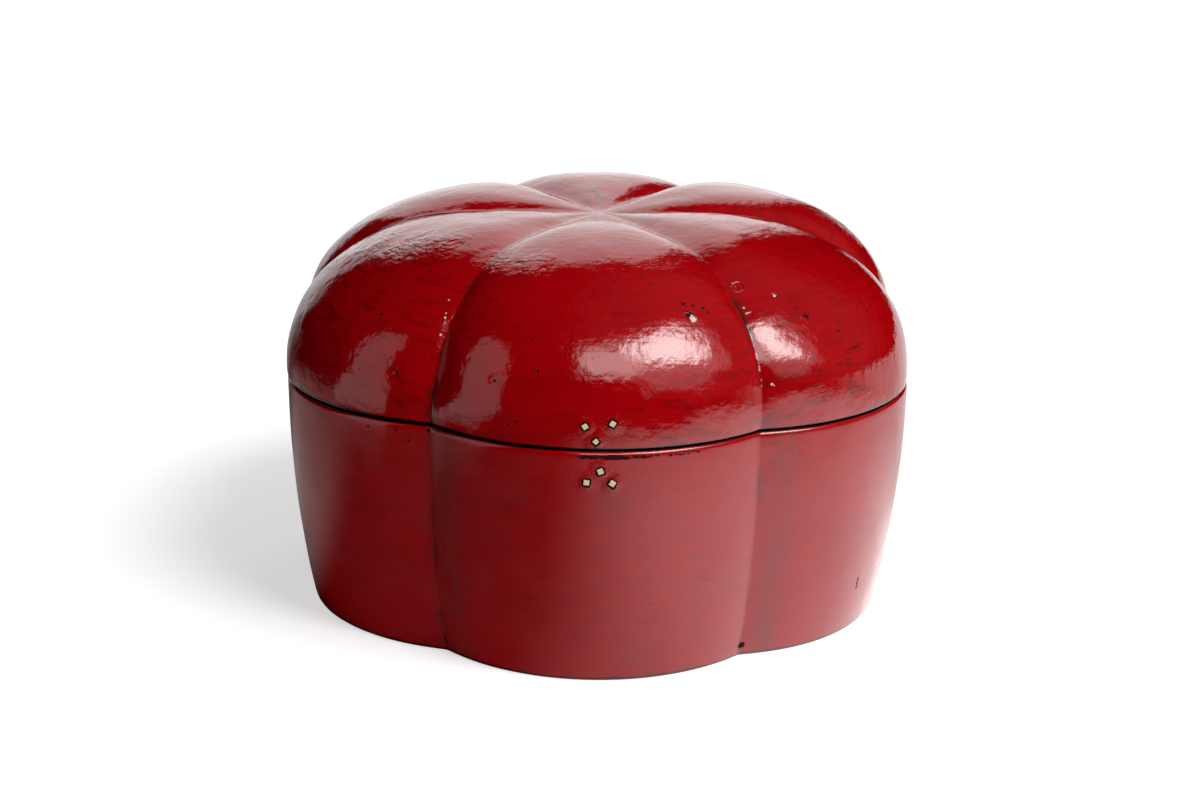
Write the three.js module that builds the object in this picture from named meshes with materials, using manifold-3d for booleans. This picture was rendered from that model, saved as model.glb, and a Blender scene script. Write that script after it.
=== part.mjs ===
// A covered box of lacquered wood in the shape of a six-lobed flower or melon.
// Units are millimetres, +Z is up, and the origin is on the ground under the box's axis.
// The front lobe faces -Y and carries the alignment marks.
//
// The wall is six staves and the lid is six carved petals, butted at the creases.
// A floor board is let in behind the foot. A collar of six thin strips stands in a rebate
// inside the wall, and the lid, which is rebated too, drops over it.

import * as THREE from "three";
import { mergeVertices } from "three/addons/utils/BufferGeometryUtils.js";
import Module from "manifold-3d";

// Plan: each lobe is one arc, given by the distances from the axis to its crest and its crease.
const lobeCount = 6;
const rimCrestRadius = 150;
const rimCreaseRadius = 138;
const footCrestRadius = 139.5;
const footCreaseRadius = 128;

// Base wall
const baseHeight = 106;
const wallThickness = 9;
const wallBelly = 3; // swell of the wall outside a straight line from foot to rim
const rimRound = 2.2; // rounded shoulder of the wall's top edge
const footRound = 0.8;

// Floor board
const floorThickness = 8;
const floorRecess = 3; // its underside above the ground, behind the foot
const floorLip = 3; // how far it reaches into the wall

// Collar
const collarThickness = 4;
const collarLetIn = 2.5; // depth of its rebate in the wall
const collarSeatDepth = 16; // how far it goes down behind the rim
const collarStand = 9; // how far it stands above the rim
const collarRound = 1.2;

// Lid: a crest profile and a crease profile, each a quarter of a superellipse.
// The lobes are carved by hand, so each crest has a height and a fullness (side) of its own.
const lidGap = 0.8; // open seam between lid and base
const lidCrests = [
  { height: 79, side: 2.65, top: 2.42 },
  { height: 78.7, side: 2.2, top: 2.42 },
  { height: 77.9, side: 3.35, top: 2.42 },
  { height: 79.6, side: 2.6, top: 2.42 },
  { height: 79.6, side: 2.45, top: 2.42 },
  { height: 78.7, side: 2, top: 2.42 },
];
const lidCrease = { height: 67.3, side: 4.1, top: 2.54 };
const crownDip = { width: 55, power: 1.8 }; // the crests dip to the creases at the crown
const crownFlank = 2.7; // how steeply the lobes fall to the creases there
const lidThickness = 9;
const lidCrownThickness = 11;
const lidRimRound = 1;
const lidClearance = 1.2; // between the collar and the lid's rebate, all round
const lidRest = 0.3; // lacquer between the collar's top and the lid's rebate, which stands on it

// How the hand-made lid sits on its collar: a little to the left, back and turned
const lidSeat = { x: -0.5, y: 0.3, turn: 0.3 };

// Joints between neighbouring pieces, filled with glue and lacquer putty
const glueLine = 0.3;

// Marks: small square chips of bone, three on the lid and three on the base.
// across is sideways from the crest, rise is above or below the seam, turn is in degrees.
const chipSize = 2.3;
const chipThickness = 1.2;
const chipBevel = 0.15;
const pocketMargin = 0.45;
const pocketDepth = 1.5;
const lidChips = [
  { name: "lid_mark_left", across: -4.5, rise: 9.8, turn: 35 },
  { name: "lid_mark_right", across: 6.8, rise: 11.1, turn: -33 },
  { name: "lid_mark_low", across: 0, rise: 3.6, turn: 42 },
];
const baseChips = [
  { name: "base_mark_high", across: 2.3, rise: -8.2, turn: 24 },
  { name: "base_mark_left", across: -3.3, rise: -13.1, turn: -5 },
  { name: "base_mark_right", across: 7.3, rise: -13.4, turn: -31 },
];

// Number of flat steps that a curve is drawn with
const acrossSteps = 14;
const domeSteps = 18;
const innerDomeSteps = 12;
const innerDomeStart = 0.06; // share of the dome where it leaves the rebate
const domeCrowding = 1.6; // rings lie closer together towards the crown
const wallSteps = 8;
const roundSteps = 3;

const halfLobe = Math.PI / lobeCount;
const seamHeight = baseHeight + lidGap;
const collarInset = wallThickness - collarLetIn; // from the wall's face to the collar's

const wasm = await Module();
wasm.setup();

const lerp = THREE.MathUtils.lerp;
const degrees = THREE.MathUtils.degToRad;

// Materials

function lacquer(color, roughness) {
  return new THREE.MeshStandardMaterial({ color, roughness, metalness: 0 });
}
const lidLacquer = lacquer(0x9c0d12, 0.14);
const wallLacquer = lacquer(0x8e1216, 0.24);
const blackLacquer = lacquer(0x0f0b0a, 0.3);
const bone = lacquer(0xf0dcb0, 0.45);

// Plan of the lobes

// Distance from the axis to the centre of a lobe's arc
function arcCentre(crest, crease) {
  return (crest ** 2 - crease ** 2) / (2 * (crest - crease * Math.cos(halfLobe)));
}

// Radius of the lobed outline at an angle from the crest, set in by an even thickness
function outlineRadius(crest, crease, inset, angle) {
  const centre = arcCentre(crest, crease);
  const arc = crest - centre - inset;
  return centre * Math.cos(angle) + Math.sqrt(arc ** 2 - (centre * Math.sin(angle)) ** 2);
}

// 1 on a lobe's crest and 0 in its crease, following the arc of the rim
function lobeShare(angle) {
  const radius = outlineRadius(rimCrestRadius, rimCreaseRadius, 0, angle);
  return (radius - rimCreaseRadius) / (rimCrestRadius - rimCreaseRadius);
}

// Radius of the wall at a height, set in by a thickness
function wallRadius(height, inset, angle) {
  const share = height / baseHeight;
  const belly = 4 * wallBelly * share * (1 - share);
  const crest = lerp(footCrestRadius, rimCrestRadius, share) + belly;
  const crease = lerp(footCreaseRadius, rimCreaseRadius, share) + belly;
  return outlineRadius(crest, crease, inset, angle);
}

// Edge of the floor board. The staves stand out from it by their glue line.
function floorRadius(angle) {
  return wallRadius(floorRecess + floorThickness, wallThickness - floorLip, angle);
}

// Profiles of the lid

// A point on a quarter of a superellipse, from the rim at turn 0 to the axis at a right angle
function quarter(radius, height, side, top, turn) {
  return {
    r: turn === Math.PI / 2 ? 0 : radius * Math.cos(turn) ** (2 / side),
    z: height * Math.sin(turn) ** (2 / top),
  };
}

// A point on a lobe's dome, from the rim at share 0 to the axis at share 1:
// inset is its depth at the rim and drop its depth at the crown
function domePoint(lidCrest, angle, share, inset, drop) {
  const turn = (1 - (1 - share) ** domeCrowding) * (Math.PI / 2);
  const crest = quarter(
    rimCrestRadius - inset, lidCrest.height - drop, lidCrest.side, lidCrest.top, turn);
  const dip = (lidCrest.height - lidCrease.height)
    * Math.exp(-((crest.r / crownDip.width) ** crownDip.power));
  const crease = quarter(
    rimCreaseRadius - inset, lidCrease.height - drop, lidCrease.side, lidCrease.top, turn);
  const crownShare = 1 - (Math.abs(angle) / halfLobe) ** crownFlank;
  const lobe = lerp(lobeShare(angle), crownShare, Math.sin(turn));
  return {
    r: lerp(crease.r, crest.r, lobe),
    z: seamHeight + lerp(crease.z, crest.z - dip, lobe),
  };
}

// Quarter-round edge from angle start to angle end, about a centre
function edgeRound(centreR, centreZ, radius, start, end) {
  return Array.from({ length: roundSteps + 1 }, (_, i) => {
    const turn = degrees(lerp(start, end, i / roundSteps));
    return { r: centreR + radius * Math.cos(turn), z: centreZ + radius * Math.sin(turn) };
  });
}

// Solids

// One lobe's piece: closed profiles, seen in planes through the axis, lofted across the lobe.
// profileAt(angle) gives the same number of points at every angle.
// The lobe lies along -Y, and the piece stands out from the axis by its glue line.
function lobePiece(profileAt) {
  const corners = [];
  const known = new Map();
  const triangles = [];
  const corner = (x, y, z) => {
    const key = [x, y, z].map((value) => value.toFixed(4)).join();
    if (!known.has(key)) {
      known.set(key, corners.length / 3);
      corners.push(x, y, z);
    }
    return known.get(key);
  };
  const triangle = (a, b, c) => {
    if (a !== b && b !== c && c !== a) triangles.push(a, b, c);
  };

  const profiles = [];
  for (let i = 0; i <= acrossSteps; i++) {
    const angle = lerp(-halfLobe, halfLobe, i / acrossSteps);
    profiles.push(profileAt(angle).map(({ r, z }) => ({
      r, z, index: corner(r * Math.sin(angle), -r * Math.cos(angle) - glueLine, z),
    })));
  }
  const count = profiles[0].length;
  for (let i = 0; i < acrossSteps; i++) {
    for (let j = 0; j < count; j++) {
      const k = (j + 1) % count;
      const [a, b] = [profiles[i][j].index, profiles[i][k].index];
      const [c, d] = [profiles[i + 1][k].index, profiles[i + 1][j].index];
      triangle(a, d, b);
      triangle(d, c, b);
    }
  }
  const flat = (profile) => profile.map(({ r, z }) => new THREE.Vector2(r, z));
  for (const [a, b, c] of THREE.ShapeUtils.triangulateShape(flat(profiles[0]), [])) {
    triangle(profiles[0][a].index, profiles[0][b].index, profiles[0][c].index);
  }
  const last = profiles[acrossSteps];
  for (const [a, b, c] of THREE.ShapeUtils.triangulateShape(flat(last), [])) {
    triangle(last[a].index, last[c].index, last[b].index);
  }
  const geometry = new THREE.BufferGeometry();
  geometry.setAttribute("position", new THREE.Float32BufferAttribute(corners, 3));
  geometry.setIndex(triangles);
  return geometry;
}

// Section of the wall: the outer face, a rounded rim, the collar's rebate, the inner face,
// the floor's rebate, and the foot
function wallSection(angle) {
  const floorTop = floorRecess + floorThickness;
  const seat = baseHeight - collarSeatDepth;
  const outer = (height) => wallRadius(height, 0, angle);
  const inner = (height) => wallRadius(height, wallThickness, angle);
  const rimRadius = outer(baseHeight);
  const rebateRadius = wallRadius(baseHeight, collarInset, angle);
  const floorEdge = floorRadius(angle);
  const section = edgeRound(outer(0) - footRound, footRound, footRound, -90, 0);
  for (let i = 1; i < wallSteps; i++) {
    const height = lerp(footRound, baseHeight - rimRound, i / wallSteps);
    section.push({ r: outer(height), z: height });
  }
  section.push(...edgeRound(rimRadius - rimRound, baseHeight - rimRound, rimRound, 0, 90));
  section.push({ r: rebateRadius, z: baseHeight });
  section.push({ r: rebateRadius, z: seat });
  for (let i = wallSteps; i >= 0; i--) {
    const height = lerp(floorTop, seat, i / wallSteps);
    section.push({ r: inner(height), z: height });
  }
  section.push({ r: floorEdge, z: floorTop });
  section.push({ r: floorEdge, z: 0 });
  return section;
}

// Section of the collar: a thin strip with a rounded top edge
function collarSection(angle) {
  const outer = wallRadius(baseHeight, collarInset + glueLine, angle);
  const inner = wallRadius(baseHeight, collarInset + glueLine + collarThickness, angle);
  const foot = baseHeight - collarSeatDepth + glueLine;
  const top = baseHeight + collarStand;
  return [
    { r: inner, z: foot },
    { r: outer, z: foot },
    ...edgeRound(outer - collarRound, top - collarRound, collarRound, 0, 90),
    ...edgeRound(inner + collarRound, top - collarRound, collarRound, 90, 180),
  ];
}

// Section of a lid lobe: a rounded rim, the dome outside, the dome inside, and the rebate
function lidSection(lidCrest, angle) {
  const rim = outlineRadius(rimCrestRadius, rimCreaseRadius, 0, angle);
  const mouth = outlineRadius(
    rimCrestRadius, rimCreaseRadius, collarInset + glueLine - lidClearance, angle);
  const rebateTop = baseHeight + collarStand + lidRest;
  const section = edgeRound(rim - lidRimRound, seamHeight + lidRimRound, lidRimRound, -90, 0);
  for (let i = 1; i <= domeSteps; i++) {
    section.push(domePoint(lidCrest, angle, i / domeSteps, 0, 0));
  }
  for (let i = innerDomeSteps; i >= 0; i--) {
    const share = lerp(innerDomeStart, 1, i / innerDomeSteps);
    section.push(domePoint(lidCrest, angle, share, lidThickness, lidCrownThickness));
  }
  section.push({ r: rim - lidThickness, z: rebateTop });
  section.push({ r: mouth, z: rebateTop });
  section.push({ r: mouth, z: seamHeight });
  return section;
}

// The floor board: the wall's plan as one plate
function floorGeometry() {
  const outline = new THREE.Shape();
  for (let lobe = 0; lobe < lobeCount; lobe++) {
    for (let i = 0; i < acrossSteps; i++) {
      const angle = lerp(-halfLobe, halfLobe, i / acrossSteps);
      const radius = floorRadius(angle);
      const turn = angle + 2 * halfLobe * lobe;
      const [x, y] = [radius * Math.sin(turn), -radius * Math.cos(turn)];
      if (lobe + i === 0) outline.moveTo(x, y);
      else outline.lineTo(x, y);
    }
  }
  outline.closePath();
  return new THREE.ExtrudeGeometry(outline, {
    depth: floorThickness - glueLine, bevelEnabled: false, steps: 1,
  });
}

// A square prism with a bevelled face, its top at z = 0
function chipGeometry(size, thickness, bevel) {
  const half = size / 2 - bevel;
  const square = new THREE.Shape([
    new THREE.Vector2(-half, -half), new THREE.Vector2(half, -half),
    new THREE.Vector2(half, half), new THREE.Vector2(-half, half),
  ]);
  const geometry = new THREE.ExtrudeGeometry(square, {
    depth: thickness - 2 * bevel,
    bevelEnabled: bevel > 0, bevelThickness: bevel, bevelSize: bevel, bevelSegments: 1,
  });
  return geometry.translate(0, 0, bevel - thickness);
}

// Cutting

function solidFrom(geometry) {
  const bare = geometry.clone();
  bare.deleteAttribute("normal");
  bare.deleteAttribute("uv");
  const merged = mergeVertices(bare, 1e-4);
  return new wasm.Manifold(new wasm.Mesh({
    numProp: 3,
    vertProperties: merged.attributes.position.array,
    triVerts: new Uint32Array(merged.index.array),
  }));
}

function geometryFrom(solid) {
  const mesh = solid.getMesh();
  const geometry = new THREE.BufferGeometry();
  geometry.setAttribute("position", new THREE.BufferAttribute(mesh.vertProperties, 3));
  geometry.setIndex(new THREE.BufferAttribute(mesh.triVerts, 1));
  return geometry;
}

// Marks

// The front lobe's surface at a distance across from its crest and a rise from the seam
function frontSurface(across, rise) {
  const height = (rise < 0 ? baseHeight : seamHeight) + rise;
  const angle = Math.asin(across / rimCrestRadius);
  let radius = 0;
  if (rise < 0) {
    radius = wallRadius(height, 0, angle);
  } else {
    let [low, high] = [0, 1]; // bisection on the dome's share, which rises with height
    for (let i = 0; i < 30; i++) {
      const middle = (low + high) / 2;
      if (domePoint(lidCrests[0], angle, middle, 0, 0).z < height) low = middle;
      else high = middle;
    }
    radius = domePoint(lidCrests[0], angle, low, 0, 0).r;
  }
  return new THREE.Vector3(radius * Math.sin(angle), -radius * Math.cos(angle) - glueLine, height);
}

// A matrix that stands a chip on the front lobe, its face along the surface
function chipPlace({ across, rise, turn }) {
  const step = 0.5;
  const point = frontSurface(across, rise);
  const along = frontSurface(across + step, rise).sub(frontSurface(across - step, rise));
  const up = frontSurface(across, rise + step).sub(frontSurface(across, rise - step));
  const normal = along.clone().cross(up).normalize();
  const side = along.normalize();
  return new THREE.Matrix4()
    .makeBasis(side, normal.clone().cross(side), normal)
    .multiply(new THREE.Matrix4().makeRotationZ(degrees(turn)))
    .setPosition(point);
}

// The pocket is wider than its chip, open at the face and a little deeper
function cutPockets(geometry, chips) {
  const size = chipSize + 2 * pocketMargin;
  let solid = solidFrom(geometry);
  for (const chip of chips) {
    const pocket = chipGeometry(size, 2 * pocketDepth, 0).translate(0, 0, pocketDepth);
    solid = solid.subtract(solidFrom(pocket.applyMatrix4(chipPlace(chip))));
  }
  return geometryFrom(solid);
}

// Assembly

function piece(name, geometry, material) {
  const mesh = new THREE.Mesh(geometry, material);
  mesh.name = name;
  return mesh;
}

// One piece to each lobe, with the pockets of the chips in the front one
function addLobes(parent, label, sectionOf, chips, material) {
  for (let lobe = 0; lobe < lobeCount; lobe++) {
    const plain = lobePiece(sectionOf(lobe));
    const geometry = lobe === 0 && chips.length ? cutPockets(plain, chips) : plain;
    const mesh = piece(`${label}_${lobe + 1}`, geometry, material);
    mesh.rotation.z = 2 * halfLobe * lobe;
    parent.add(mesh);
  }
}

function addChips(parent, chips) {
  for (const chip of chips) {
    const mesh = piece(chip.name, chipGeometry(chipSize, chipThickness, chipBevel), bone);
    chipPlace(chip).decompose(mesh.position, mesh.quaternion, mesh.scale);
    parent.add(mesh);
  }
}

const base = new THREE.Group();
const floorBoard = piece("floor_board", floorGeometry(), blackLacquer);
floorBoard.position.z = floorRecess;
base.add(floorBoard);
addLobes(base, "wall_stave", () => wallSection, baseChips, wallLacquer);
addLobes(base, "collar_strip", () => collarSection, [], blackLacquer);
addChips(base, baseChips);

const lid = new THREE.Group();
const petalSection = (lobe) => (angle) => lidSection(lidCrests[lobe], angle);
addLobes(lid, "lid_petal", petalSection, lidChips, lidLacquer);
addChips(lid, lidChips);
lid.position.set(lidSeat.x, lidSeat.y, 0);
lid.rotation.z = degrees(lidSeat.turn);

const box = new THREE.Group();
box.add(base, lid);

export default box;
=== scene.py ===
# A covered box of red lacquered wood in the shape of a six-lobed flower, on a white studio floor.
# Everything is in metres in the row frame: +Z is up and the front lobe faces -Y.

import math
from functools import partial, reduce

import bmesh
import bpy
import numpy as np
from mathutils import Matrix, Vector, noise


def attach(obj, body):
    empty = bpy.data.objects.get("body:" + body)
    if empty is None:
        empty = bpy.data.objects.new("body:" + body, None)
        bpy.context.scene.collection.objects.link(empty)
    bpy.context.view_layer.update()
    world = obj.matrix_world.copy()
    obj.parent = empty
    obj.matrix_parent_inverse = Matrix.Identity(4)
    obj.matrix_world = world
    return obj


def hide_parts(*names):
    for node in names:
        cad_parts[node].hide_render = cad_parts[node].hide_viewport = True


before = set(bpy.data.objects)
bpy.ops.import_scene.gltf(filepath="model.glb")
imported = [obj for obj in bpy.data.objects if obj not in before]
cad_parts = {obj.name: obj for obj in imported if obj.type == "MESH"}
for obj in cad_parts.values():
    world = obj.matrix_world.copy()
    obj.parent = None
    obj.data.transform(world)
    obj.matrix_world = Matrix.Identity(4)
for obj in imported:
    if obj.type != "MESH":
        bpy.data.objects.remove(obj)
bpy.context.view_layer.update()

# Plan of the lobes and heights, as in the solids
LOBES = 6
HALF_LOBE = math.pi / LOBES
RIM_CREST, RIM_CREASE = 0.150, 0.138
FOOT_CREST, FOOT_CREASE = 0.1395, 0.128
GLUE = 0.0003  # the solids stand out from the axis by this
BASE_HEIGHT = 0.106
WALL_THICKNESS = 0.009
WALL_BELLY = 0.003
RIM_ROUND = 0.0017
FOOT_ROUND = 0.0008
FLOOR_RECESS, FLOOR_THICKNESS, FLOOR_LIP = 0.003, 0.008, 0.003
COLLAR_THICKNESS, COLLAR_LET_IN = 0.004, 0.0025
COLLAR_SEAT, COLLAR_STAND, COLLAR_ROUND = 0.016, 0.009, 0.0012
LID_GAP = 0.0008
# Height, fullness and flatness of each lobe's crest, and of the creases
LID_CRESTS = ((0.079, 2.65, 2.42), (0.0787, 2.2, 2.42), (0.0779, 3.35, 2.42),
              (0.0796, 2.6, 2.42), (0.0796, 2.45, 2.42), (0.0787, 2.0, 2.42))
LID_CREASE = (0.0673, 4.1, 2.54)
CROWN_DIP_WIDTH, CROWN_DIP_POWER = 0.055, 1.8
CROWN_FLANK = 3.5  # how steeply the lobes fall to the creases at the crown
LID_THICKNESS, LID_CROWN_THICKNESS = 0.009, 0.011
LID_RIM_ROUND = 0.001
LID_CLEARANCE = 0.0012
LID_REST = 0.0003
# A hand-made lid sits a little off
LID_SEAT = Matrix.Translation((-0.0005, 0.0003, 0)) @ Matrix.Rotation(math.radians(0.3), 4, "Z")
SEAM = BASE_HEIGHT + LID_GAP
COLLAR_INSET = WALL_THICKNESS - COLLAR_LET_IN

# Rounding of the creases' bottoms, and the least radius that it is worked out for
LID_VALLEY, WALL_VALLEY, LEAST_RADIUS = 0.0007, 0.0011, 0.012

# Mesh density, and how far points draw together towards the creases and the ends of a profile
ACROSS = 72
DOME_STEPS = 110
WALL_STEPS = 80
INNER_STEPS = 30
ROUND_STEPS = 6
ACROSS_EASING, DOME_EASING = 1.5, 1.8
INNER_START = 0.1  # of the dome's quarter turn, where its inside begins


# Plan and profiles

def soften(angle, radius, valley):
    """An angle from the crest, kept off the crease so that the crease has a rounded bottom."""
    gap = HALF_LOBE - abs(angle)
    return HALF_LOBE - math.hypot(gap, valley / max(radius, LEAST_RADIUS))


def outline_radius(crest, crease, inset, angle):
    centre = (crest ** 2 - crease ** 2) / (2 * (crest - crease * math.cos(HALF_LOBE)))
    arc = crest - centre - inset
    return centre * math.cos(angle) + math.sqrt(arc ** 2 - (centre * math.sin(angle)) ** 2)


def lobe_share(angle):
    radius = outline_radius(RIM_CREST, RIM_CREASE, 0, angle)
    return (radius - RIM_CREASE) / (RIM_CREST - RIM_CREASE)


def wall_radius(height, inset, angle):
    share = height / BASE_HEIGHT
    belly = 4 * WALL_BELLY * share * (1 - share)
    crest = FOOT_CREST + (RIM_CREST - FOOT_CREST) * share + belly
    crease = FOOT_CREASE + (RIM_CREASE - FOOT_CREASE) * share + belly
    return outline_radius(crest, crease, inset, soften(angle, crease, WALL_VALLEY))


def quarter(radius, height, side, top, turn):
    cos = max(0.0, math.cos(turn))
    return radius * cos ** (2 / side), height * math.sin(turn) ** (2 / top)


def dome_point(crest, angle, turn, inset, drop):
    height, side, top = crest
    crest_r, crest_z = quarter(RIM_CREST - inset, height - drop, side, top, turn)
    crest_z -= (height - LID_CREASE[0]) * math.exp(-((crest_r / CROWN_DIP_WIDTH) ** CROWN_DIP_POWER))
    height, side, top = LID_CREASE
    crease_r, crease_z = quarter(RIM_CREASE - inset, height - drop, side, top, turn)
    angle = soften(angle, crease_r, LID_VALLEY)
    crown_share = 1 - (abs(angle) / HALF_LOBE) ** CROWN_FLANK
    lobe = lobe_share(angle) + (crown_share - lobe_share(angle)) * math.sin(turn)
    return crease_r + (crest_r - crease_r) * lobe, SEAM + crease_z + (crest_z - crease_z) * lobe


def edge_round(r, z, radius, start, end):
    turns = np.radians(np.linspace(start, end, ROUND_STEPS + 1))
    return [(r + radius * math.cos(t), z + radius * math.sin(t)) for t in turns]


def eased(share):
    return 1 - (1 - share) ** DOME_EASING


# Sections, as closed loops of (r, z) that start with the visible outside

def lid_section(crest, angle):
    rim = outline_radius(RIM_CREST, RIM_CREASE, 0, soften(angle, RIM_CREASE, LID_VALLEY))
    mouth = outline_radius(RIM_CREST, RIM_CREASE, COLLAR_INSET + GLUE - LID_CLEARANCE, angle)
    section = edge_round(rim - LID_RIM_ROUND, SEAM + LID_RIM_ROUND, LID_RIM_ROUND, -90, 0)
    for i in range(1, DOME_STEPS + 1):
        r, z = dome_point(crest, angle, eased(i / DOME_STEPS) * math.pi / 2, 0, 0)
        section.append((0.0 if i == DOME_STEPS else r, z))
    for i in range(INNER_STEPS, -1, -1):
        share = INNER_START + (1 - INNER_START) * eased(i / INNER_STEPS)
        r, z = dome_point(crest, angle, share * math.pi / 2, LID_THICKNESS, LID_CROWN_THICKNESS)
        section.append((0.0 if i == INNER_STEPS else r, z))
    rebate_top = BASE_HEIGHT + COLLAR_STAND + LID_REST
    section += [(rim - LID_THICKNESS, rebate_top), (mouth, rebate_top), (mouth, SEAM)]
    return section


def wall_section(angle):
    floor_top = FLOOR_RECESS + FLOOR_THICKNESS
    seat = BASE_HEIGHT - COLLAR_SEAT
    foot = wall_radius(0, 0, angle)
    rim = wall_radius(BASE_HEIGHT, 0, angle)
    rebate = wall_radius(BASE_HEIGHT, COLLAR_INSET, angle)
    floor_edge = wall_radius(floor_top, WALL_THICKNESS - FLOOR_LIP, angle)
    section = edge_round(foot - FOOT_ROUND, FOOT_ROUND, FOOT_ROUND, -90, 0)
    for i in range(1, WALL_STEPS):
        z = FOOT_ROUND + (BASE_HEIGHT - RIM_ROUND - FOOT_ROUND) * i / WALL_STEPS
        section.append((wall_radius(z, 0, angle), z))
    section += edge_round(rim - RIM_ROUND, BASE_HEIGHT - RIM_ROUND, RIM_ROUND, 0, 90)
    section += [(rebate, BASE_HEIGHT), (rebate, seat)]
    for i in range(INNER_STEPS, -1, -1):
        z = floor_top + (seat - floor_top) * i / INNER_STEPS
        section.append((wall_radius(z, WALL_THICKNESS, angle), z))
    section += [(floor_edge, floor_top), (floor_edge, 0)]
    return section


def collar_section(angle):
    outer = wall_radius(BASE_HEIGHT, COLLAR_INSET + GLUE, angle)
    inner = wall_radius(BASE_HEIGHT, COLLAR_INSET + GLUE + COLLAR_THICKNESS, angle)
    bottom = BASE_HEIGHT - COLLAR_SEAT + GLUE
    round_z = BASE_HEIGHT + COLLAR_STAND - COLLAR_ROUND
    section = [(inner, bottom), (outer, bottom)]
    section += edge_round(outer - COLLAR_ROUND, round_z, COLLAR_ROUND, 0, 90)
    section += edge_round(inner + COLLAR_ROUND, round_z, COLLAR_ROUND, 90, 180)
    return section


# Points of a section that lie on the visible outside
LID_OUTER = ROUND_STEPS + 1 + DOME_STEPS
WALL_OUTER = 2 * (ROUND_STEPS + 1) + WALL_STEPS - 1

# Hand-made unevenness: a smooth field of the place alone, so that neighbouring pieces still meet

# Waves of a surface: height, how many there are to a metre, and a seed
LID_WAVES = ((0.00035, 28, 3.1), (0.00022, 75, 7.7))
WALL_WAVE, WALL_RIPPLE = (0.00045, 16, 5.3), (0.00012, 60, 1.9)
WALL_DRAW = 0.6  # the wall's waves are drawn out upwards
DOME_MIDDLE = 0.09  # the lid's unevenness stands away from this height on the axis

# The lid's lobes drop steeply into the creases at its shoulder, which starts and ends softly
FLANK_DEPTH, FLANK_WIDTH = 0.0036, 0.012
SHOULDER_FOOT, SHOULDER_TOP = (0.110, 0.134), (0.173, 0.156)

# Low swellings of the lid and a hollow: place, reach across, reach in height, and how far they stand up
LID_SWELLINGS = (
    (0.078, -0.113, 0.1306, 0.034, 0.0155, 0.0036),
    (0.064, -0.108, 0.143, 0.014, 0.022, 0.0022),
    (0.078, -0.107, 0.143, 0.024, 0.015, -0.0012),
    (-0.056, -0.056, 0.175, 0.024, 0.05, 0.0028),
    (0.056, -0.056, 0.175, 0.024, 0.05, 0.0022),
)


def wave(x, y, z, height, scale, seed):
    return height * noise.noise(Vector((x, y, z)) * scale + Vector((seed, 2 * seed, 3 * seed)))


def fade(value, start, end):
    share = min(1.0, max(0.0, (value - start) / (end - start)))
    return share * share * (3 - 2 * share)


def lid_relief(x, y, z, crease):
    relief = sum(wave(x, y, z, *values) for values in LID_WAVES)
    shoulder = fade(z, *SHOULDER_FOOT) * fade(z, *SHOULDER_TOP)
    relief -= FLANK_DEPTH * math.exp(-crease / FLANK_WIDTH) * shoulder
    for at_x, at_y, at_z, across, rise, lift in LID_SWELLINGS:
        away = math.hypot((x - at_x) / across, (y - at_y) / across, (z - at_z) / rise)
        relief += lift * math.exp(-away ** 2)
    return relief


def wall_relief(x, y, z, _):
    return wave(x, y, WALL_DRAW * z, *WALL_WAVE) + wave(x, y, z, *WALL_RIPPLE)


def outward(x, y, z, flat):
    """The way in which unevenness moves a point: level where flat is set, or out of the dome."""
    return Vector((x, y, 0 if flat else z - DOME_MIDDLE)).normalized()


# Marks: square bone chips bedded in black putty, flush with the front lobe.
# Name, place across from the crest, height above the seam, turn in degrees, size and body
MARKS = (
    ("lid_mark_left", -0.0045, 0.0098, 35, 0.0022, "lid"),
    ("lid_mark_right", 0.0068, 0.0111, -33, 0.0022, "lid"),
    ("lid_mark_low", 0.0, 0.0036, 42, 0.0020, "lid"),
    ("base_mark_high", 0.0023, -0.0082, 24, 0.0024, "base"),
    ("base_mark_left", -0.0033, -0.0131, -5, 0.0023, "base"),
    ("base_mark_right", 0.0073, -0.0134, -31, 0.0024, "base"),
)
HALVINGS = 40  # of the dome's quarter turn, to find the point at a height


def front_surface(across, rise):
    """A point of the front lobe, across from its crest and above or below the seam."""
    angle = math.asin(across / RIM_CREST)
    on_wall = rise < 0
    if on_wall:
        z = BASE_HEIGHT + rise
        radius = wall_radius(z, 0, angle)
    else:
        z = SEAM + rise
        low, high = 0.0, math.pi / 2
        for _ in range(HALVINGS):
            middle = (low + high) / 2
            if dome_point(LID_CRESTS[0], angle, middle, 0, 0)[1] < z:
                low = middle
            else:
                high = middle
        radius = dome_point(LID_CRESTS[0], angle, low, 0, 0)[0]
    out = radius + GLUE
    crease = out * math.sin(HALF_LOBE - abs(angle))
    point = Vector((out * math.sin(angle), -out * math.cos(angle), z))
    relief = wall_relief if on_wall else lid_relief
    return point + relief(*point, crease) * outward(*point, on_wall)


# Meshes

MERGE_DISTANCE = 1e-7
SHARP_EDGE = math.radians(32)


def finish_mesh(name, bm, materials, body, nodes, transform=None):
    """Make a bmesh a smooth-shaded piece that rides a body, fills a slot and replaces nodes."""
    bmesh.ops.remove_doubles(bm, verts=bm.verts, dist=MERGE_DISTANCE)
    bmesh.ops.recalc_face_normals(bm, faces=bm.faces)
    for face in bm.faces:
        face.smooth = True
    for edge in bm.edges:
        if len(edge.link_faces) == 2 and edge.calc_face_angle() > SHARP_EDGE:
            edge.smooth = False
    if transform is not None:
        bm.transform(transform)
    mesh = bpy.data.meshes.new(name)
    bm.to_mesh(mesh)
    bm.free()
    for material in materials:
        mesh.materials.append(material)
    piece = bpy.data.objects.new(name, mesh)
    bpy.context.scene.collection.objects.link(piece)
    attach(piece, body)
    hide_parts(*nodes)


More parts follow.
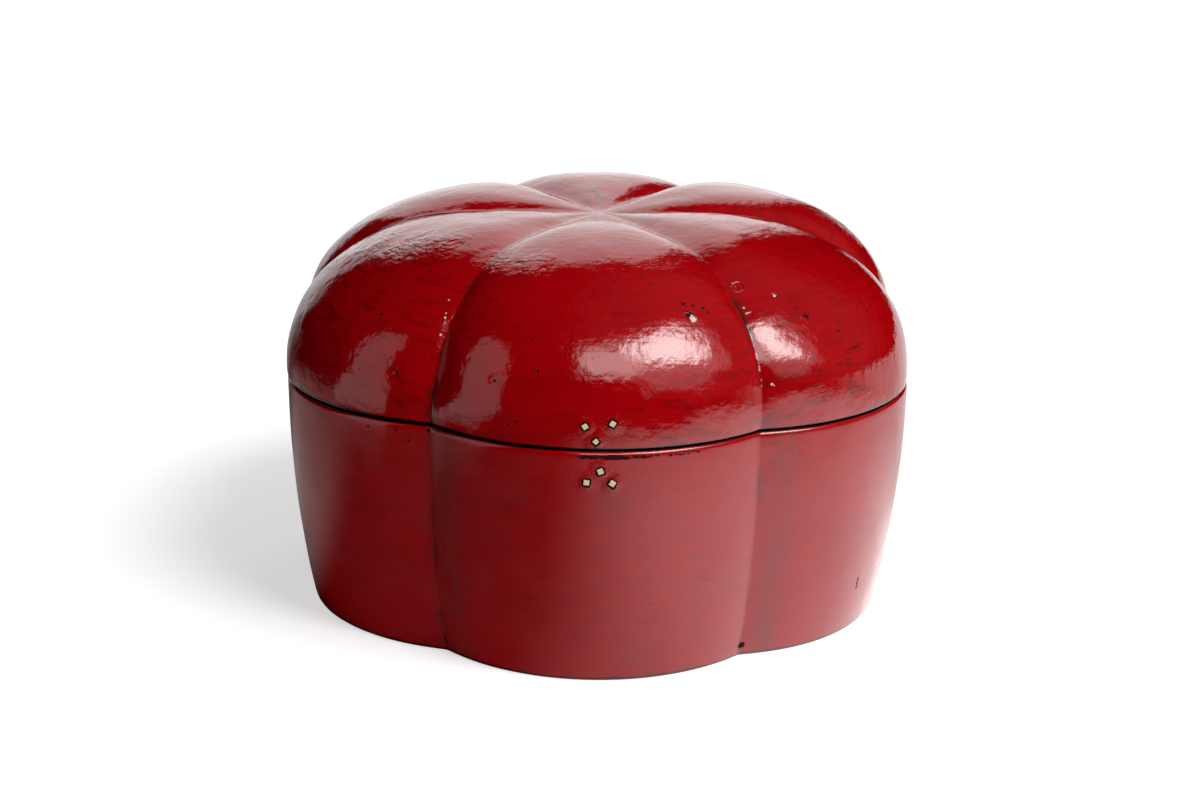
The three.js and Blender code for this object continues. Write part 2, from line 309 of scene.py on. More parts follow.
def lobe_mesh(lobe, section_at, relief=None, outer_count=0, flat=False):
    """One lobe's piece as a bmesh. The first outer_count points of its section are outside: they get
    the relief and the first material, and the rest the second. Each point keeps its distance to the
    nearest crease as an attribute."""
    bm = bmesh.new()
    layer = bm.verts.layers.float.new("crease")
    turn = 2 * HALF_LOBE * lobe
    rows = []
    for i in range(ACROSS + 1):
        share = 2 * i / ACROSS - 1
        angle = math.copysign(HALF_LOBE * (1 - (1 - abs(share)) ** ACROSS_EASING), share)
        row = []
        for j, (r, z) in enumerate(section_at(angle)):
            out = r + GLUE * math.cos(angle) if r > 0 else 0.0
            x, y = out * math.sin(angle + turn), -out * math.cos(angle + turn)
            crease = out * math.sin(HALF_LOBE - abs(angle))
            if relief and j < outer_count:
                lift = relief(x, y, z, crease)
                away = outward(x, y, z, flat)
                x, y, z = x + lift * away.x, y + lift * away.y, z + lift * away.z
            vert = bm.verts.new((x, y, z))
            vert[layer] = crease
            row.append(vert)
        rows.append(row)
    for row, beside in zip(rows, rows[1:]):
        count = len(row)
        for j in range(count):
            k = (j + 1) % count
            face = bm.faces.new((row[j], beside[j], beside[k], row[k]))
            face.material_index = 0 if j < outer_count - 1 else 1
    for cap in (rows[0], rows[-1][::-1]):
        bm.faces.new(cap).material_index = 1
    return bm


# Node helpers

def new_material(name):
    material = bpy.data.materials.new(name)
    material.use_nodes = True
    tree = material.node_tree
    return material, tree, tree.nodes["Principled BSDF"]


def add(tree, kind, **values):
    """A new node with its settings, or its inputs with underscores for spaces, set to values."""
    node = tree.nodes.new(kind)
    for key, value in values.items():
        if hasattr(node, key):
            setattr(node, key, value)
        else:
            node.inputs[key.replace("_", " ")].default_value = value
    return node


def object_place(tree):
    return tree.nodes.new("ShaderNodeTexCoord").outputs["Object"]


def noise_node(tree, place, scale, detail=4.0, roughness=0.5):
    node = add(tree, "ShaderNodeTexNoise", Scale=scale, Detail=detail, Roughness=roughness)
    tree.links.new(place, node.inputs["Vector"])
    return node.outputs["Fac"]


def ramp(tree, value, low, high):
    """0 at low and 1 at high, with a smooth step between them. Low may be the larger."""
    node = add(tree, "ShaderNodeMapRange", interpolation_type="SMOOTHSTEP", From_Min=low, From_Max=high)
    tree.links.new(value, node.inputs["Value"])
    return node.outputs["Result"]


def maths(tree, operation, a, b=None):
    node = add(tree, "ShaderNodeMath", operation=operation)
    for socket, value in zip(node.inputs, (a, b)):
        if isinstance(value, (int, float)):
            socket.default_value = value
        elif value is not None:
            tree.links.new(value, socket)
    return node.outputs[0]


def times(tree, *values):
    return reduce(partial(maths, tree, "MULTIPLY"), values)


def plus(tree, *values):
    return reduce(partial(maths, tree, "ADD"), values)


def minus(tree, a, b):
    return maths(tree, "SUBTRACT", a, b)


def most(tree, *values):
    return reduce(partial(maths, tree, "MAXIMUM"), values)


def band(tree, value, low, high, soft):
    """1 between two values and 0 outside them, fading over soft."""
    above = ramp(tree, value, low - soft, low + soft)
    return times(tree, above, ramp(tree, value, high + soft, high - soft))


def vector_maths(tree, operation, vector, other=None):
    node = add(tree, "ShaderNodeVectorMath", operation=operation)
    tree.links.new(vector, node.inputs[0])
    if other is not None:
        node.inputs[1].default_value = other
    return node.outputs


def dot(tree, vector, axis):
    return vector_maths(tree, "DOT_PRODUCT", vector, axis)["Value"]


def facing(tree, vector, azimuth):
    """How far a place or direction lies towards an azimuth to the right of the front, -Y."""
    turn = math.radians(azimuth)
    return dot(tree, vector, (math.sin(turn), -math.cos(turn), 0))


def parts(tree, vector):
    split = tree.nodes.new("ShaderNodeSeparateXYZ")
    tree.links.new(vector, split.inputs[0])
    return split.outputs


def mix_colour(tree, factor, a, b):
    node = add(tree, "ShaderNodeMix", data_type="RGBA")
    tree.links.new(factor, node.inputs[0])
    for socket, value in ((node.inputs[6], a), (node.inputs[7], b)):
        if isinstance(value, tuple):
            socket.default_value = (*value, 1)
        else:
            tree.links.new(value, socket)
    return node.outputs[2]


def link_bump(tree, shader, height, distance):
    bump = add(tree, "ShaderNodeBump", Strength=1.0, Distance=distance)
    tree.links.new(height, bump.inputs["Height"])
    tree.links.new(bump.outputs["Normal"], shader.inputs["Normal"])


def streaks_of(tree, place, along, across, detail, roughness):
    """Noise drawn out along rings about the box's axis."""
    x, y, z = parts(tree, place)
    radius = maths(tree, "SQRT", plus(tree, times(tree, x, x), times(tree, y, y)))
    join = tree.nodes.new("ShaderNodeCombineXYZ")
    tree.links.new(times(tree, x, along), join.inputs[0])
    tree.links.new(times(tree, y, along), join.inputs[1])
    tree.links.new(times(tree, minus(tree, z, radius), across), join.inputs[2])
    return noise_node(tree, join.outputs[0], 1, detail, roughness)


def nearest(tree, place, places, edge, soft):
    """Mask of spots, each (x, y, z, radius) in millimetres. Their edges follow a noise and fade."""
    shares = []
    for x, y, z, radius in places:
        distance = vector_maths(tree, "DISTANCE", place, (x / 1000, y / 1000, z / 1000))["Value"]
        shares.append(times(tree, distance, 1000 / radius))
    least = reduce(partial(maths, tree, "MINIMUM"), shares)
    return ramp(tree, plus(tree, least, minus(tree, edge, 0.5)), 1.0, 1.0 - soft)


# Red lacquer

RED = (0.45, 0.0008, 0.003)
DEEP_RED = (0.31, 0.0005, 0.0015)
BRIGHT_RED = (0.51, 0.002, 0.006)
DARK_RED = (0.17, 0.001, 0.0015)
BLACK = (0.010, 0.005, 0.004)
BROWN = (0.055, 0.012, 0.008)
# Dust, and painted shade beside the wall's creases
DUST_AND_SHADE = (0.14, 0.044, 0.036)
# Pale colours painted as highlights: a glint line along a crease, and glint spots
GLINT_LINE_PAINT = (0.8, 0.6, 0.55)
GLINT_SPOT_PAINT = (0.8, 0.78, 0.72)
STAIN = (0.045, 0.040, 0.036)

# How much of each kind of wear there is, the roughness at its least and its spread, and heights of bump
LID_COAT = {"streaks": 0.4, "blots": 0.6, "rubbed": 0.7, "line": 0.6,
            "rough": 0.07, "satin": 0.06, "ripple": 0.0005, "dimple": 0.0002}
WALL_COAT = {"streaks": 0.25, "blots": 0.2, "rubbed": 0.35, "line": 0.2,
             "rough": 0.17, "satin": 0.10, "ripple": 0.0003, "dimple": 0.00003}
BRUSH_HEIGHT, GRAIN_HEIGHT, CRUST_HEIGHT = 0.00006, 0.00001, 0.0008
SPECK_DEPTH, SCAR_DEPTH, DENT_DEPTH = 0.00003, 0.0003, 0.0003
SWELLING_RADIUS, SWELLING_HEIGHT = 6.0, 0.00045  # round a bone chip: millimetres across, metres high

# Wear, and pale spots painted as highlights, in millimetres: (x, y, z, radius)
LID_CHIPS = (
    (38.4, -120.2, 157.2, 2.3), (35.3, -116.3, 160.1, 1.1), (39.5, -115.4, 159.1, 0.9),
    (43.8, -114.3, 158.0, 1.0), (45.9, -115.1, 156.5, 0.8), (-92.5, -94.3, 147.9, 0.8),
    (-71.3, -102.0, 152.4, 0.7), (-84.0, -113.2, 127.3, 0.8), (-69.2, -119.2, 120.2, 0.6),
    (-23.7, -141.1, 137.3, 0.8), (-26.5, -133.4, 148.2, 0.6), (-35.7, -143.1, 114.7, 0.7),
    (-38.2, -142.0, 113.9, 0.6), (-32.0, -144.4, 116.5, 0.7), (75.3, -91.5, 158.9, 0.8),
    (62.9, -102.6, 155.3, 1.0), (-41.6, -136.8, 131.6, 0.7), (68.0, -115.9, 136.8, 0.8),
    (70.3, -118.5, 119.8, 1.0), (43.0, -94.0, 167.2, 0.8), (45.0, -99.5, 164.2, 0.7),
    (38.6, -100.7, 166.6, 0.6), (17.4, -105.2, 169.5, 0.5), (21.6, -110.3, 166.5, 0.6),
    (119.9, -62.2, 147.3, 0.9), (118.5, -67.8, 145.6, 0.7), (102.9, -91.9, 143.1, 0.8),
    (88.6, -95.0, 149.9, 1.5),
)
LID_DENTS = (
    (-42.2, -136.6, 131.9, 3.6), (58.9, -93.6, 162.2, 2.6), (64.0, -104.0, 153.5, 2.5),
    (75.0, -92.5, 158.0, 2.2), (37.6, -120.4, 156.2, 2.8),
)
# Pale spots painted as highlights: glints off the lips of chips and off the crust along the creases
LID_PAINTED_GLINTS = (
    (39.6, -121.2, 155.2, 1.7), (75.0, -92.0, 158.2, 0.7), (-64.0, -103.3, 151.1, 0.5),
    (-64.3, -105.0, 149.4, 0.6), (-63.1, -98.4, 155.6, 0.4), (-65.7, -109.4, 143.2, 0.6),
    (61.6, -100.9, 154.8, 0.6), (73.4, -118.0, 126.7, 0.6), (74.2, -117.9, 126.2, 0.4),
)
LID_SCARS = ((59.4, -92.0, 161.8, 3.1),)
LID_STAINS = (
    (-4.0, 33.4, 177.4, 2.8), (-2.2, 28.0, 176.8, 2.0), (-0.5, 22.8, 176.2, 3.0), (4.3, 21.5, 175.6, 2.0),
)
LID_DASHES = (
    (106.2, -96.5, 135.2, 7), (94.3, -110.5, 123.9, 8), (111.0, -90.5, 136.0, 6),
    (116.4, -90.8, 124.8, 5), (-110, 85, 135, 12), (60, 128, 128, 10),
)
LID_CRUST = (
    (-99.6, -31.7, 166.1, 16), (-84.0, -52.0, 168.0, 17), (-67.0, -62.0, 170.0, 15),
    (-117.5, -17.6, 157.9, 20), (-44.0, -84.0, 169.0, 13), (-27.0, -96.0, 171.0, 12),
    (-63.0, -110.0, 150.0, 9), (60, 92, 168, 22), (-60, 95, 167, 20), (112, 20, 163, 16),
)
WALL_CHIPS = (
    (-79.3, -117.0, 99.0, 0.8), (-84.6, -115.0, 102.7, 0.7), (-97.2, -108.7, 102.2, 0.6),
    (-70.6, -119.4, 104.3, 1.2), (-64.3, -112.7, 5.6, 1.8), (65.1, -112.1, 5.4, 1.8),
    (118.5, -81.1, 25.0, 0.9), (118.2, -81.1, 23.0, 0.9), (118.5, -80.9, 21.0, 0.9),
)
WALL_STAINS = (
    (8.0, -147.0, 86.0, 16), (78.0, -112.0, 84.0, 18), (-30.0, -140.0, 84.0, 12),
    (20.0, -145.0, 12.0, 14), (-110.0, -84.0, 60.0, 16), (0.0, 146.0, 60.0, 24),
)
# Dusty smudges and painted shade beside a crease, darker where the wall runs into the valley: azimuth
# they lie towards, nearest and farthest, softness and strength
WALL_SMUDGES_AND_SHADE = (
    (60, 0.003, 0.012, 0.012, 0.8), (120, 0.007, 0.015, 0.006, 0.7), (180, 0.002, 0.010, 0.006, 0.7),
)


def coat_colour(tree, place, brushed, coat):
    """Even red with fine streaks, faint clouds, dark blots and scratches."""
    streaks = ramp(tree, brushed, 0.38, 0.66)
    colour = mix_colour(tree, times(tree, streaks, coat["streaks"]), RED, DEEP_RED)
    cloud = ramp(tree, noise_node(tree, place, 24, 3, 0.55), 0.42, 0.72)
    colour = mix_colour(tree, times(tree, cloud, 0.4), colour, BRIGHT_RED)
    blots = ramp(tree, streaks_of(tree, place, 75, 190, 5, 0.65), 0.50, 0.66)
    here = ramp(tree, noise_node(tree, place, 17, 2), 0.38, 0.60)
    colour = mix_colour(tree, times(tree, blots, here, coat["blots"]), colour, DARK_RED)
    scratch = ramp(tree, streaks_of(tree, place, 28, 1100, 3, 0.5), 0.66, 0.72)
    return mix_colour(tree, times(tree, scratch, 0.45), colour, DARK_RED)


def crease_wear(tree, place, colour, ragged, coat):
    """Rubbed thin along the creases, in ragged patches, with a broken black line at their bottoms.
    On the lid both end below the crown."""
    crease = add(tree, "ShaderNodeAttribute", attribute_name="crease").outputs["Fac"]
    patchy = ramp(tree, noise_node(tree, place, 45, 3, 0.6), 0.48, 0.62)
    rubbed = ramp(tree, minus(tree, crease, times(tree, ragged, 0.010)), -0.0015, -0.0045)
    rubbed = times(tree, rubbed, patchy, coat["rubbed"])
    line = ramp(tree, minus(tree, crease, times(tree, ragged, 0.0018)), 0.0000, -0.0007)
    line = times(tree, line, plus(tree, times(tree, patchy, coat["line"]), 0.15))
    if coat is LID_COAT:
        z = parts(tree, place)[2]
        rubbed = times(tree, rubbed, ramp(tree, z, 0.168, 0.155))
        line = times(tree, line, ramp(tree, z, 0.162, 0.150))
    colour = mix_colour(tree, rubbed, colour, BROWN)
    return mix_colour(tree, line, colour, BLACK), crease


def dashes(tree, place, ragged):
    """Rows of short black dashes on the lid."""
    short = ramp(tree, streaks_of(tree, place, 130, 620, 2, 0.6), 0.54, 0.60)
    return times(tree, short, nearest(tree, place, LID_DASHES, ragged, 0.6), 0.75)


def flakes(tree, place):
    """The red has flaked off in a ragged band below the front's rim, thickest above the chips."""
    x, y, z = parts(tree, place)
    thick = plus(tree, times(tree, band(tree, x, 0.000, 0.014, 0.010), 0.4), 0.6)
    strip = times(tree, band(tree, z, 0.1026, 0.1051, 0.0010), thick)
    strip = times(tree, strip, band(tree, x, -0.011, 0.047, 0.006), ramp(tree, y, -0.10, -0.13))
    grain = streaks_of(tree, place, 340, 420, 3, 0.7)
    return ramp(tree, times(tree, strip, grain), 0.29, 0.32)


def specks(tree, place, chips, jagged):
    """Small spots where the black shows: scattered ones, and the larger chips."""
    cells = add(tree, "ShaderNodeTexVoronoi", Scale=170.0)
    tree.links.new(place, cells.inputs["Vector"])
    sparse = ramp(tree, noise_node(tree, place, 26, 3), 0.58, 0.70)
    scattered = times(tree, ramp(tree, cells.outputs["Distance"], 0.10, 0.06), sparse)
    return most(tree, scattered, nearest(tree, place, chips, jagged, 0.25))


def painted_glint_line(tree, place, crease):
    """A broken pale line painted along the front's right crease: a painted highlight standing for the
    glint off the beaded crust there.
    """
    x, y, z = parts(tree, place)
    line = times(tree, ramp(tree, crease, 0.0006, 0.0003), band(tree, z, 0.127, 0.141, 0.003))
    line = times(tree, line, band(tree, x, 0.062, 0.074, 0.001), ramp(tree, y, -0.09, -0.10))
    return times(tree, line, ramp(tree, noise_node(tree, place, 330, 2), 0.50, 0.58), 0.7)


def seam_black_and_shade(tree, place, ragged, lid):
    """Black at the lid's rim, where its black coat shows, and widened to the left as painted shade where
    the lid overhangs the gap; or black at the wall's rim and foot.
    """
    x, _, z = parts(tree, place)
    worn = times(tree, minus(tree, ragged, 0.5), 0.0006)
    level = plus(tree, z, worn)
    if lid:
        # Painted shade: the lid's black band widens to the left, where the gap under the lid lies in
        # shade
        level = minus(tree, level, times(tree, ramp(tree, x, -0.04, -0.14), 0.0008))
        return ramp(tree, level, SEAM + 0.0012, SEAM + 0.0006)
    rim = ramp(tree, level, BASE_HEIGHT - 0.0004, BASE_HEIGHT)
    foot = ramp(tree, plus(tree, z, times(tree, worn, 4)), 0.0022, 0.0008)
    return most(tree, rim, times(tree, foot, 0.8))


def smudges_and_shade(tree, place, ragged):
    """Painted shade and dusty smudges beside the wall's creases, and fainter stains, all smeared upright.
    """
    smudge_and_shade = times(tree, nearest(tree, place, WALL_STAINS, ragged, 0.9), 0.28)
    for azimuth, start, end, soft, much in WALL_SMUDGES_AND_SHADE:
        beside = band(tree, facing(tree, place, azimuth), start, end, soft)
        smudge_and_shade = most(tree, smudge_and_shade, times(tree, beside, much))
    upright = vector_maths(tree, "MULTIPLY", place, (110, 110, 28))["Vector"]
    smeared = ramp(tree, noise_node(tree, upright, 1, 5, 0.7), 0.32, 0.60)
    return times(tree, smudge_and_shade, smeared, 0.8)


def chip_places(body):
    """The lacquer stands up a little round each bone chip of a body."""
    places = []
    for _, across, rise, _, _, rides_on in MARKS:
        if rides_on == body:
            point = front_surface(across, rise)
            point = LID_SEAT @ point if body == "lid" else point
            places.append((*(1000 * point), SWELLING_RADIUS))
    return places


def crust(tree, place, ragged):
    """A wrinkled crust on the lid's shoulders."""
    patch = ramp(tree, noise_node(tree, place, 60, 3, 0.6), 0.40, 0.55)
    patch = times(tree, nearest(tree, place, LID_CRUST, ragged, 0.8), patch)
    return times(tree, streaks_of(tree, place, 170, 380, 4, 0.55), patch)


def red_lacquer(name, body):
    """Red lacquer over a black coat, which shows where the red is rubbed thin or chipped. On the lid it
    carries painted highlights and painted shade at the seam, on the wall painted shade beside the
    creases.
    The lid is the glossier. The wall is satin up to its rounded rim."""
    lid = body == "lid"
    coat = LID_COAT if lid else WALL_COAT
    material, tree, shader = new_material(name)
    place = object_place(tree)
    ragged = noise_node(tree, place, 170, 4, 0.7)
    jagged = ramp(tree, noise_node(tree, place, 600, 3, 0.7), 0.25, 0.75)
    brushed = streaks_of(tree, place, 16, 300, 5, 0.6)

    colour = coat_colour(tree, place, brushed, coat)
    colour, crease = crease_wear(tree, place, colour, ragged, coat)
    speck = specks(tree, place, LID_CHIPS if lid else WALL_CHIPS, jagged)
    speck = most(tree, speck, dashes(tree, place, ragged) if lid else flakes(tree, place))
    colour = mix_colour(tree, times(tree, speck, 0.92), colour, BLACK)
    if lid:
        # Painted highlight: a broken pale line along the front's right crease
        colour = mix_colour(tree, painted_glint_line(tree, place, crease), colour, GLINT_LINE_PAINT)
        scarred = nearest(tree, place, LID_SCARS, ragged, 0.3)
        outline = times(tree, scarred, minus(tree, 1.0, scarred), 3.0)
        colour = mix_colour(tree, outline, colour, BLACK)
        # Painted highlights: pale glint spots
        colour = mix_colour(tree, nearest(tree, place, LID_PAINTED_GLINTS, jagged, 0.3), colour, GLINT_SPOT_PAINT)
        colour = mix_colour(tree, nearest(tree, place, LID_STAINS, jagged, 0.5), colour, STAIN)
    else:
        # Dusty smudges and stains, and painted shade beside the wall's creases
        colour = mix_colour(tree, smudges_and_shade(tree, place, ragged), colour, DUST_AND_SHADE)
    # Black at the rims and foot, with painted shade widening the lid's seam to the left
    colour = mix_colour(tree, seam_black_and_shade(tree, place, ragged, lid), colour, BLACK)
    tree.links.new(colour, shader.inputs["Base Color"])

    satin = ramp(tree, noise_node(tree, place, 60, 5, 0.6), 0.3, 0.8)
    rough = plus(tree, times(tree, satin, coat["satin"]), coat["rough"])
    if not lid:
        glossy_rim = ramp(tree, parts(tree, place)[2], BASE_HEIGHT - 0.0030, BASE_HEIGHT - 0.0018)
        rough = minus(tree, rough, times(tree, glossy_rim, 0.12))
    rough = plus(tree, rough, times(tree, speck, 0.5))
    tree.links.new(rough, shader.inputs["Roughness"])
    shader.inputs["IOR"].default_value = 1.55
    shine = minus(tree, 0.5, times(tree, speck, 0.45))
    tree.links.new(shine, shader.inputs["Specular IOR Level"])

    heights = [
        times(tree, noise_node(tree, place, 55, 2, 0.45), coat["ripple"]),
        times(tree, noise_node(tree, place, 240, 2, 0.5), coat["dimple"]),
        times(tree, brushed, BRUSH_HEIGHT),
        times(tree, noise_node(tree, place, 420, 4, 0.6), GRAIN_HEIGHT),
        times(tree, speck, -SPECK_DEPTH),
        times(tree, nearest(tree, place, chip_places(body), ragged, 0.9), SWELLING_HEIGHT),
    ]
    if lid:
        heights += [
            times(tree, scarred, -SCAR_DEPTH),
            times(tree, nearest(tree, place, LID_DENTS, ragged, 0.8), -DENT_DEPTH),
            times(tree, crust(tree, place, ragged), CRUST_HEIGHT),
        ]
    link_bump(tree, shader, plus(tree, *heights), 1.0)
    return material


# The other materials

BLACK_SHADES = (0.010, 0.008, 0.008), (0.035, 0.022, 0.018)
BONE_SHADES = (1.0, 0.70, 0.36), (1.0, 0.89, 0.64)
PUTTY = (0.004, 0.003, 0.003, 1)


def black_lacquer(name):
    material, tree, shader = new_material(name)
    place = object_place(tree)
    patch = ramp(tree, noise_node(tree, place, 30, 5, 0.6), 0.35, 0.75)
    tree.links.new(mix_colour(tree, patch, *BLACK_SHADES), shader.inputs["Base Color"])
    tree.links.new(plus(tree, times(tree, patch, 0.2), 0.25), shader.inputs["Roughness"])
    link_bump(tree, shader, noise_node(tree, place, 160, 4), 0.0002)
    return material


def bone_chip(name):
    material, tree, shader = new_material(name)
    stain = ramp(tree, noise_node(tree, object_place(tree), 900, 4, 0.6), 0.35, 0.7)
    tree.links.new(mix_colour(tree, stain, *BONE_SHADES), shader.inputs["Base Color"])
    shader.inputs["Roughness"].default_value = 0.3
    return material


def black_putty(name):
    material, _, shader = new_material(name)
    shader.inputs["Base Color"].default_value = PUTTY
    shader.inputs["Roughness"].default_value = 0.9
    shader.inputs["Specular IOR Level"].default_value = 0.15
    return material


lid_red = red_lacquer("lid_red_lacquer", "lid")
wall_red = red_lacquer("wall_red_lacquer", "base")
black = black_lacquer("black_lacquer")
bone = bone_chip("bone_chip")
putty = black_putty("black_putty")

# Pieces

for lobe, crest in enumerate(LID_CRESTS):
    number = lobe + 1
    petal = lobe_mesh(lobe, partial(lid_section, crest), lid_relief, LID_OUTER)
    stave = lobe_mesh(lobe, wall_section, wall_relief, WALL_OUTER, True)
    strip = lobe_mesh(lobe, collar_section)
    finish_mesh(f"petal_skin_{number}", petal, (lid_red, black), "lid",
                [f"lid_petal_{number}"], LID_SEAT)
    finish_mesh(f"stave_skin_{number}", stave, (wall_red, black), "base",
                [f"wall_stave_{number}"])
    finish_mesh(f"collar_skin_{number}", strip, (black, black), "base",
                [f"collar_strip_{number}"])

# The floor board stays as it is and gets its material
floor_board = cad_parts["floor_board"]
floor_board.data.materials.clear()
floor_board.data.materials.append(black)

# Shapes of the marks: heights of a chip and of its bed over the surface, and how far the bed reaches
# past the chip
CHIP_TOP, CHIP_BOTTOM, CHIP_BEVEL = 0.00014, -0.001, 0.0001
BED_TOP, BED_BOTTOM, BED_BEVEL = 0.00004, -0.0012, 0.00003
BED_REACH, BED_CORNER, BED_POINTS = 0.0009, 1.25, 20
CHIP_UNEVENNESS, BED_UNEVENNESS = 0.12, 0.22
CHIP_SEED, BED_SEED = 900, 500  # times a mark's place, so that each outline is another
CHIP_OUTLINE = ((-1, -1), (0, -1.03), (1, -1), (1.03, 0), (1, 1), (0, 1.02), (-1, 1), (-1.02, 0))
USUAL_HALF_CHIP = 0.0012
PROBE = 0.0005  # step along the surface, to find which way it faces


def plug(bm, matrix, outline, top, bottom, bevel, material):
    """A prism on a polygon, with its top edge bevelled."""
    rings = []
    for scale, height in ((1.0, bottom), (1.0, top - bevel), (1 - bevel / USUAL_HALF_CHIP, top)):
        rings.append([bm.verts.new(matrix @ Vector((x * scale, y * scale, height))) for x, y in outline])
    count = len(outline)
    faces = [bm.faces.new(rings[0][::-1]), bm.faces.new(rings[2])]
    for a, b in zip(rings, rings[1:]):
        for i in range(count):
            k = (i + 1) % count
            faces.append(bm.faces.new((a[i], a[k], b[k], b[i])))
    for face in faces:
        face.material_index = material


def chip_outline(across, rise, half):
    """An uneven square."""
    outline = []
    for i, (x, y) in enumerate(CHIP_OUTLINE):
        slip = noise.noise(Vector((across * CHIP_SEED + i, rise * CHIP_SEED, 1.7 * i)))
        size = half * (1 + CHIP_UNEVENNESS * slip)
        outline.append((x * size, y * size))
    return outline


def bed_outline(across, rise, half):
    """The putty's ragged edge round a chip."""
    outline = []
    for i in range(BED_POINTS):
        angle = 2 * math.pi * i / BED_POINTS
        cos, sin = math.cos(angle), math.sin(angle)
        square = half / max(abs(cos), abs(sin))
        slip = noise.noise(Vector((cos * 2 + across * BED_SEED, sin * 2, rise * BED_SEED)))
        reach = (min(square, BED_CORNER * half) + BED_REACH) * (1 + BED_UNEVENNESS * slip)
        outline.append((reach * cos, reach * sin))
    return outline


def make_mark(name, across, rise, turn, size, body):
    along = front_surface(across + PROBE, rise) - front_surface(across - PROBE, rise)
    upward = front_surface(across, rise + PROBE) - front_surface(across, rise - PROBE)
    normal = along.cross(upward).normalized()
    side = along.normalized()
    basis = Matrix((side, normal.cross(side), normal)).transposed().to_4x4()
    spin = Matrix.Rotation(math.radians(turn), 4, "Z")
    matrix = Matrix.Translation(front_surface(across, rise)) @ basis @ spin
    bm = bmesh.new()
    plug(bm, matrix, bed_outline(across, rise, size / 2), BED_TOP, BED_BOTTOM, BED_BEVEL, 1)
    plug(bm, matrix, chip_outline(across, rise, size / 2), CHIP_TOP, CHIP_BOTTOM, CHIP_BEVEL, 0)
    transform = LID_SEAT if body == "lid" else None
    finish_mesh(f"chip_{name}", bm, (bone, putty), body, [name], transform)


for mark in MARKS:
    make_mark(*mark)

# Stage: a white floor. Reflections see how the studio lights it, which differs from side to side

FLOOR_SIZE, FLOOR_LEVEL = 12, -0.0001  # the box's foot stands just clear of it
FLOOR_COLOUR = (0.8, 0.8, 0.8, 1)
GLOW_NEAR, GLOW_SPREAD, GLOW_RADII = 0.62, 0.38, (0.15, 0.48)  # to the camera it is whitest far away
BOUNCE = 0.11  # light that it throws on the box besides the lamps'
# What is mirrored: azimuth it lies towards, where it fades in, and its level
MIRRORED_RIGHT = (60, 0.2, 1.0, 2.12)
MIRRORED_REAR = (150, 0.1, 0.8, 1.0)
MIRRORED_LEFT = (-100, 0.82, 0.97, 0.38)
MIRRORED_STRIP = (-68, 0.945, 0.975, 0.7)
# Radii between which it fades
NEAR_FADE, LEFT_FADE, STRIP_FADE = (0.92, 0.25), (0.1, 0.24), (0.35, 0.65)


def make_floor():
    bpy.ops.mesh.primitive_plane_add(size=FLOOR_SIZE, location=(0, 0, FLOOR_LEVEL))
    floor = bpy.context.object
    floor.name = "studio_floor"
    material, tree, shader = new_material("studio_floor")
    material.cycles.emission_sampling = "NONE"
    nodes, links = tree.nodes, tree.links
    nodes.remove(shader)
    place = object_place(tree)
    path = nodes.new("ShaderNodeLightPath").outputs
    radius = vector_maths(tree, "LENGTH", place)["Value"]
    diffuse = add(tree, "ShaderNodeBsdfDiffuse", Color=FLOOR_COLOUR)
    glow = nodes.new("ShaderNodeEmission")
    seen = plus(tree, times(tree, ramp(tree, radius, *GLOW_RADII), GLOW_SPREAD), GLOW_NEAR)
    seen = times(tree, path["Is Camera Ray"], seen)
    bounced = times(tree, path["Is Diffuse Ray"], BOUNCE)
    links.new(plus(tree, seen, bounced), glow.inputs["Strength"])
    both = nodes.new("ShaderNodeAddShader")
    links.new(diffuse.outputs[0], both.inputs[0])
    links.new(glow.outputs[0], both.inputs[1])

    way_out = vector_maths(tree, "NORMALIZE", place)["Vector"]

    def towards(azimuth, start, end, level):
        return times(tree, ramp(tree, facing(tree, way_out, azimuth), start, end), level)

    near = ramp(tree, radius, *NEAR_FADE)
    level = most(
        tree,
        times(tree, towards(*MIRRORED_RIGHT), near),
        towards(*MIRRORED_REAR),
        times(tree, towards(*MIRRORED_LEFT), near, ramp(tree, radius, *LEFT_FADE)),
        times(tree, towards(*MIRRORED_STRIP), ramp(tree, radius, *STRIP_FADE)),
    )
    mirrored = nodes.new("ShaderNodeEmission")
    links.new(level, mirrored.inputs["Strength"])
    choose = nodes.new("ShaderNodeMixShader")
    links.new(path["Is Glossy Ray"], choose.inputs[0])
    links.new(both.outputs[0], choose.inputs[1])
    links.new(mirrored.outputs[0], choose.inputs[2])
    links.new(choose.outputs[0], nodes["Material Output"].inputs["Surface"])
    floor.data.materials.append(material)


make_floor()

# World: white to the camera. Reflections see soft boxes, a strip on the left and a lit wall behind

# Azimuth to the right of the front, elevation, half width and half height in degrees, softness, level
SOFT_BOXES = (
    (49, 51.5, 15.5, 12.5, 0.9, 14.0),
    (47, 47, 27, 21, 0.7, 1.5),
    (9, 45, 13.5, 15, 0.9, 4.6),
    (43, 25, 16, 11, 0.9, 1.0),
    (-67.5, 12, 14.5, 31, 0.35, 0.69),
    (186, 20, 17, 31, 0.3, 1.3),
    (200, 2, 16, 14, 0.5, 0.9),
    (78, 45, 46, 46, 0.9, 0.1),
)
CORNER_POWER = 4  # of the boxes' rounded outline
LEAST_FRONT = 0.02  # keeps what lies behind a box's direction out of it


def way(azimuth, elevation):
    turn, rise = math.radians(azimuth), math.radians(elevation)
    return Vector((math.sin(turn) * math.cos(rise), -math.cos(turn) * math.cos(rise), math.sin(rise)))


